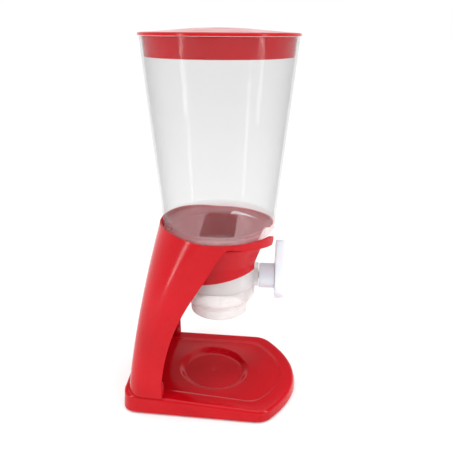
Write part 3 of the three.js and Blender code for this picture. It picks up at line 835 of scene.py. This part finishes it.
def seat_cup_mesh(columns=90):
    """Half turns of the cup's outer skin, from the slot at the front round to the back."""
    flange_top = box_mm("seat_cup")[1].z
    outer = COLLAR_R - WALL - 0.8
    profile = fillet([
        (outer, flange_top, 0), (52.6, flange_top, 1.8), (SEAT_SLEEVE_R, 163.4, 14),
        (SEAT_SLEEVE_R, SEAT_SLEEVE_TOP, 0),
    ], steps=6)
    slot_half = PRONG_GAP + 2.5
    verts, faces = [], []
    below = 12
    for sign in (-1, 1):
        first = len(verts)
        for k in range(columns + 1):
            share = k / columns
            for p in profile:
                turn = lerp(math.asin(slot_half / p.x), math.pi, share)
                verts.append((AXIS_X + p.x * math.cos(turn), sign * p.x * math.sin(turn), p.y))
            radius = profile[-1].x
            turn = lerp(math.asin(slot_half / radius), math.pi, share)
            x = AXIS_X + radius * math.cos(turn)
            low = 148.4 + 0.21 * (x - AXIS_X)
            for j in range(1, below + 1):
                verts.append((x, sign * radius * math.sin(turn), lerp(SEAT_SLEEVE_TOP, low, j / below)))
        length = len(profile) + below
        for k in range(columns):
            for j in range(length - 1):
                a = first + k * length + j
                faces.append((a, a + 1, a + length + 1, a + length))
    return verts, faces


def seat_cup():
    thing = make("seat_cup_moulding", "stand", "red_plastic", ["seat_cup"], seat_cup_mesh())
    weld(thing, 0.02)
    thicken(thing, SEAT_WALL)
    soften(thing, 0.5, segments=2, angle=60)


# ---------------------------------------------------------------- hopper and lid


def slot_reach(angle, z):
    """Distance from the hopper axis to the edge of the slot in the floor, at one height."""
    share = (z - THROAT_Z) / (HOPPER_FLOOR - THROAT_Z)
    half_x = lerp(THROAT_HALF, TROUGH_HALF, share)
    half_y = lerp(THROAT_REACH, TROUGH_REACH, share)
    return (abs(math.cos(angle) / half_x) ** 9 + abs(math.sin(angle) / half_y) ** 9) ** (-1 / 9)


def tank_mesh():
    inner_bottom = HOPPER_BOTTOM_R - HOPPER_WALL + 0.5
    floor_r = 49.6
    slot_r = 1.0
    verts, faces = turned([
        (slot_r, HOPPER_BOTTOM, 0), (57.2, HOPPER_BOTTOM, 1.6), (HOPPER_BOTTOM_R, HOPPER_FLOOR - 1, 2.4),
        (HOPPER_TOP_R, HOPPER_TOP, 0.8), (HOPPER_TOP_R - HOPPER_WALL, HOPPER_TOP, 0.8),
        (inner_bottom, HOPPER_FLOOR + 6, 6), (floor_r, HOPPER_FLOOR, 3), (slot_r, HOPPER_FLOOR, 0),
    ])
    shaped = []
    for x, y, z in verts:
        if math.hypot(x - AXIS_X, y) < slot_r + 0.01:
            angle = math.atan2(y, x - AXIS_X)
            reach = slot_reach(angle, z)
            x, y = AXIS_X + reach * math.cos(angle), reach * math.sin(angle)
        shaped.append((x, y, z))
    return shaped, faces


def bowl_mesh():
    outlet = 31.4
    top = bowl_high.z
    wall = 2.0
    return turned([
        (outlet, bowl_low.z, 0.5), (outlet + 0.5, 108, 0.4), (outlet - 0.4, 109.2, 0.3),
        (outlet + 0.2, 110.2, 0.4), (36, 113.6, 4), (39, 118, 4), (40, 123, 4), (39.6, 127.6, 3),
        (38.9, top, 0.6), (38.9 - wall, top, 0.6), (39.6 - wall, 127, 3), (40 - wall, 123, 4),
        (39.2 - wall, 119, 4), (36.6 - wall, 115.4, 4), (outlet - wall, 111.6, 1.5),
        (outlet - wall - 0.4, bowl_low.z, 0.5),
    ])


def lid_mesh():
    """Thin dome with a brim over the hopper's edge and a skirt that tapers with its wall."""
    lip = HOPPER_TOP + 2 * GAP
    under = lip + SEAL_THICK
    peak, wall = lid_high.z, LID_WALL
    skirt = HOPPER_TOP_R - HOPPER_WALL - 0.5
    return turned([
        (0, peak, 0), (25, peak - 0.8, 20), (60, lip + 3.8, 12), (LID_R - 2.6, lip + 2.9, 2.0),
        (LID_R, lip + 2.4, 1.1), (LID_R, lip, 0.5), (LID_R - 0.9, lip, 0.3), (LID_R - 0.9, under, 0.1),
        (skirt, under, 0.2), (71.6, lid_low.z, 0.5), (70.4, lid_low.z, 0.5), (skirt - 1.2, under - 1, 1.5),
        (60, lip + 3.8 - wall, 10), (25, peak - 0.8 - wall, 20), (0, peak - wall, 0),
    ])


def seal_mesh():
    low = HOPPER_TOP + GAP
    high = low + SEAL_THICK
    inner, outer = SEAL_INNER_R, SEAL_OUTER_R
    return turned([(inner, low, 0.2), (outer, low, 0.2), (outer, high, 0.2), (inner, high, 0.2)])


# ---------------------------------------------------------------- knob


def hub_mesh():
    radius = (hub_high.z - hub_low.z) / 2
    back, front = hub_low.x, hub_high.x
    hole = 4.2
    return about_shaft([
        (hole, back, 0.2), (radius - 0.3, back, 0.9), (radius, back + 2.4, 0.3), (radius, front, 0.25),
        (hole, front, 0.2),
    ], steps=96)


def grip_outline(margin, steps=120):
    """Egg outline as (y, z) about the shaft: two arcs joined by their tangents."""
    big, small = KNOB_R - margin, KNOB_TIP_R - margin
    lean = math.acos((big - small) / KNOB_TIP_REACH)
    lower = 2 * (math.pi - lean) * big
    upper = 2 * lean * small
    straight = KNOB_TIP_REACH * math.sin(lean)
    total = lower + upper + 2 * straight
    left, right = math.pi / 2 + lean, math.pi / 2 - lean
    points = []
    for k in range(steps):
        walked = total * k / steps
        if walked < lower:
            turn = left + walked / big
            points.append((big * math.cos(turn), big * math.sin(turn)))
            continue
        walked -= lower
        if walked < straight:
            t = walked / straight
            a = (big * math.cos(right), big * math.sin(right))
            b = (small * math.cos(right), KNOB_TIP_REACH + small * math.sin(right))
            points.append((lerp(a[0], b[0], t), lerp(a[1], b[1], t)))
            continue
        walked -= straight
        if walked < upper:
            turn = right + walked / small
            points.append((small * math.cos(turn), KNOB_TIP_REACH + small * math.sin(turn)))
            continue
        t = (walked - upper) / straight
        a = (small * math.cos(left), KNOB_TIP_REACH + small * math.sin(left))
        b = (big * math.cos(left), big * math.sin(left))
        points.append((lerp(a[0], b[0], t), lerp(a[1], b[1], t)))
    return points


def grip_mesh():
    back, front = plate_low.x, plate_high.x
    layers = [(10, back), (2.4, back), (0.9, back + 0.15), (0.25, back + 0.6), (0.0, back + 1.4)]
    layers += [(0.0, front - 3.4), (0.25, front - 2.3), (0.9, front - 1.3), (2.2, front - 0.55)]
    layers += [(4.2, front - 0.15), (7, front), (10, front)]
    rings = [[(x, y, SHAFT_Z + z) for y, z in grip_outline(margin)] for margin, x in layers]
    middle = SHAFT_Z + KNOB_TIP_REACH / 2
    return skin(rings, start=(back, 0, middle), end=(front, 0, middle))


def cap_mesh():
    low, high = box_mm("knob_cap")
    radius = (high.z - low.z) / 2
    return about_shaft([
        (0, low.x, 0), (radius, low.x, 0), (radius, high.x - 0.1, 0.5), (radius - 2, high.x, 1),
        (0, high.x, 0),
    ])


# ---------------------------------------------------------------- assembly


make("base_moulding", "stand", "red_plastic", ["base_tray"], base_mesh())
make("base_posts", "stand", "red_plastic", [], base_posts())
column_shell()
column_fixings()
seat_cup()
make("tank_moulding", "hopper", "clear_plastic", ["hopper_tank"], tank_mesh())
make("bowl_moulding", "hopper", "milky_plastic", ["outlet_bowl"], bowl_mesh())
make("lid_moulding", "lid", "red_plastic", ["lid_shell"], lid_mesh())
make("seal_ring", "lid", "silicone", ["lid_seal"], seal_mesh())
make("hub_moulding", "rotor", "white_plastic", ["knob_hub"], hub_mesh())
make("grip_moulding", "rotor", "white_plastic", ["knob_plate"], grip_mesh())
make("cap_moulding", "rotor", "white_plastic", ["knob_cap"], cap_mesh())

SLOT_OF = {part["node"]: part["material_slot"] for part in frame["record"]["subparts"]}
BODY_OF = {node: body for body, nodes in frame["record"]["behaviour"]["bodies"].items() for node in nodes}
SPECIAL_FINISH = {
    "chamber_body": "frosted_plastic",
    "trough_chute": "thin_clear_plastic",
    "wheel_cheeks": "thin_clear_plastic",
}


def refine_rest():
    done = {
        "base_tray", "column_shell", "seat_cup", "hopper_tank", "outlet_bowl", "lid_shell", "lid_seal",
        "knob_hub", "knob_plate", "knob_cap",
    }
    for node in sorted(set(frame["nodes"]) - done):
        slot = SLOT_OF[node]
        edge = 0.35 if slot in ("rubber", "silicone") else 0
        finish = SPECIAL_FINISH.get(node, slot)
        refined(node, BODY_OF[node], slot, MATERIALS[finish], edge)


refine_rest()


# ---------------------------------------------------------------- studio and camera


def paper_floor():
    bpy.ops.mesh.primitive_plane_add(size=60, location=(0, 0, 0))
    floor = bpy.context.object
    floor.name = "floor"
    n = Nodes("white_floor")
    colour = n.blend(n.between(n.noise(3, 2), 0, 1, 0.3, 0.7), (0.94, 0.94, 0.94), (0.96, 0.96, 0.96))
    n.link(colour, n.shader.inputs["Base Color"])
    n.set(Roughness=0.9, Emission_Color=(1, 1, 1, 1), Emission_Strength=0.08, Specular_IOR_Level=0.1)
    floor.data.materials.append(n.material)


def studio_sky(world):
    """White near the horizon and overhead, with a darker belt between that glossy faces mirror."""
    tree = world.node_tree
    direction = tree.nodes.new("ShaderNodeTexCoord").outputs["Generated"]
    parts = tree.nodes.new("ShaderNodeSeparateXYZ")
    ramp = tree.nodes.new("ShaderNodeValToRGB")
    tree.links.new(direction, parts.inputs[0])
    tree.links.new(parts.outputs["Z"], ramp.inputs["Fac"])
    stops = [(0.0, 0.65), (0.16, 0.65), (0.30, 0.22), (0.60, 0.22), (0.76, 1.0)]
    elements = ramp.color_ramp.elements
    while len(elements) < len(stops):
        elements.new(0.5)
    for element, (position, level) in zip(elements, stops):
        element.position = position
        element.color = (level, level, level, 1)
    background = tree.nodes["Background"]
    tree.links.new(ramp.outputs["Color"], background.inputs["Color"])
    background.inputs["Strength"].default_value = 1.55


def soft_light(name, place, target, size, power, height=None):
    lamp = bpy.data.lights.new(name, "AREA")
    lamp.shape = "RECTANGLE"
    lamp.size = size
    lamp.size_y = height or size
    lamp.energy = power
    thing = bpy.data.objects.new(name, lamp)
    thing.location = place
    thing.rotation_euler = (Vector(target) - Vector(place)).to_track_quat("-Z", "Y").to_euler()
    bpy.context.scene.collection.objects.link(thing)


def studio():
    world = bpy.data.worlds.new("studio")
    bpy.context.scene.world = world
    world.use_nodes = True
    studio_sky(world)
    middle = (0, 0, 0.2)
    soft_light("left_strip", (-1.0, -0.9, 0.55), middle, 0.14, 7, height=1.3)
    soft_light("right_strip", (1.1, -0.5, 0.5), middle, 0.12, 5, height=1.2)
    soft_light("overhead", (0.1, -0.2, 1.6), middle, 0.8, 3)


def camera():
    """The photograph was taken from close by, level with the lid, looking down a little."""
    lens = bpy.data.cameras.new("camera")
    lens.sensor_width = 36
    lens.lens = 41.42
    lens.clip_start = 0.01
    thing = bpy.data.objects.new("camera", lens)
    right = Vector((0.9977, 0.0674, 0)).normalized()
    roll = math.radians(0.381)
    forward = Vector((-0.0632, 0.9347, -0.3499)).normalized()
    up = right.cross(forward).normalized()
    right, up = right * math.cos(roll) + up * math.sin(roll), up * math.cos(roll) - right * math.sin(roll)
    turn = Matrix((right, up, -forward)).transposed().to_4x4()
    thing.matrix_world = Matrix.Translation((0.0485, -0.5216, 0.3914)) @ turn
    bpy.context.scene.collection.objects.link(thing)
    bpy.context.scene.camera = thing


paper_floor()
studio()
camera()
bpy.context.scene.view_settings.view_transform = "Standard"
bpy.context.scene.cycles.transparent_max_bounces = SEE_THROUGH_DEPTH
